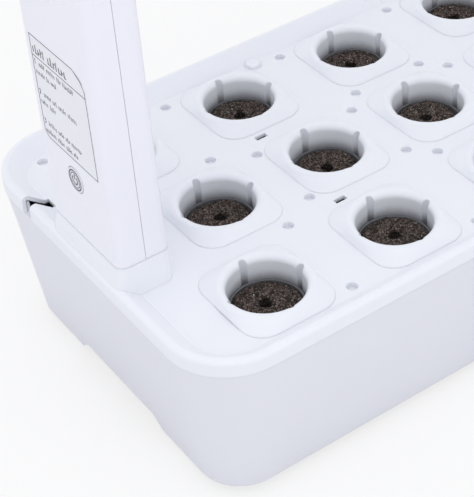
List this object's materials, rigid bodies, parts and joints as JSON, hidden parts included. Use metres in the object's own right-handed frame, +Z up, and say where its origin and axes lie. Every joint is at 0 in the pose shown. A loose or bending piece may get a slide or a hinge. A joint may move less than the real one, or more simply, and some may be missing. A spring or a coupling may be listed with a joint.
{
  "type": "countertop hydroponic garden",
  "caption": "Countertop hydroponic garden: drafted water tub, planting deck with raised wells, grow sponges in baskets, and a lamp that slides up and down on telescopic posts.",
  "frame": {"origin": "on the floor under the middle of the deck", "axes": "+X along the deck towards the post without the key, +Y to the back, +Z up"},
  "size_m": [0.446, 0.227, 0.48],
  "materials": {
    "tub_plastic": "satin",
    "lid_plastic": "satin",
    "post_plastic": "satin",
    "lamp_plastic": "satin",
    "leg_metal": "satin anodised",
    "foot_rubber": "matte",
    "basket_plastic": "matte",
    "peat": "rough, granular",
    "plug_plastic": "matte",
    "key_plastic": "satin",
    "label_film": "matte",
    "circuit_board": "satin",
    "led_board": "matte white coating",
    "diffuser": "frosted",
    "screw_steel": "zinc plated",
    "inlet_plastic": "matte",
    "pump_plastic": "matte",
    "shaft_steel": "polished",
    "impeller_plastic": "satin",
    "sucker_rubber": "matte"
  },
  "bodies": {
    "base": {"tub": "tub_plastic", "deck_lid": "lid_plastic", "service_plug": "plug_plastic", "rubber_foot_1": "foot_rubber", "rubber_foot_2": "foot_rubber", "rubber_foot_3": "foot_rubber", "rubber_foot_4": "foot_rubber", "grow_basket_01": "basket_plastic", "grow_basket_02": "basket_plastic", "grow_basket_03": "basket_plastic", "grow_basket_04": "basket_plastic", "grow_basket_05": "basket_plastic", "grow_basket_06": "basket_plastic", "grow_basket_07": "basket_plastic", "grow_basket_08": "basket_plastic", "grow_basket_09": "basket_plastic", "grow_basket_10": "basket_plastic", "grow_basket_11": "basket_plastic", "grow_basket_12": "basket_plastic", "grow_basket_13": "basket_plastic", "grow_basket_14": "basket_plastic", "grow_basket_15": "basket_plastic", "grow_sponge_01": "peat", "grow_sponge_02": "peat", "grow_sponge_03": "peat", "grow_sponge_04": "peat", "grow_sponge_05": "peat", "grow_sponge_06": "peat", "grow_sponge_07": "peat", "grow_sponge_08": "peat", "grow_sponge_09": "peat", "grow_sponge_10": "peat", "grow_sponge_11": "peat", "grow_sponge_12": "peat", "grow_sponge_13": "peat", "grow_sponge_14": "peat", "grow_sponge_15": "peat", "left_post_outer_shell": "post_plastic", "left_post_inner_shell": "post_plastic", "left_post_collar": "post_plastic", "right_post_outer_shell": "post_plastic", "right_post_inner_shell": "post_plastic", "right_post_collar": "post_plastic", "post_screws": "screw_steel", "control_board": "circuit_board", "dc_inlet": "inlet_plastic", "key_label": "label_film", "pump_housing": "pump_plastic", "pump_inlet_cover": "pump_plastic", "pump_shaft": "shaft_steel", "pump_suction_feet": "sucker_rubber"},
    "lamp": {"left_leg": "leg_metal", "right_leg": "leg_metal", "lamp_cover": "lamp_plastic", "lamp_frame": "lamp_plastic", "lamp_diffuser": "diffuser", "led_board": "led_board", "lamp_screws": "screw_steel"},
    "key": {"power_key": "key_plastic"},
    "impeller": {"pump_impeller": "impeller_plastic"}
  },
  "joints": [
    {"name": "lamp_height", "type": "slide", "parent": "base", "child": "lamp", "axis": [0, 0, 1], "range_m": [-0.09, 0.06]},
    {"name": "power_key", "type": "slide", "parent": "base", "child": "key", "axis": [1, 0, 0], "range_m": [0, 0.0008], "stiffness_N_per_m": 800},
    {"name": "pump_spin", "type": "hinge", "parent": "base", "child": "impeller", "pos_m": [-0.188, 0, 0.0355], "axis": [1, 0, 0], "continuous": true}
  ]
}
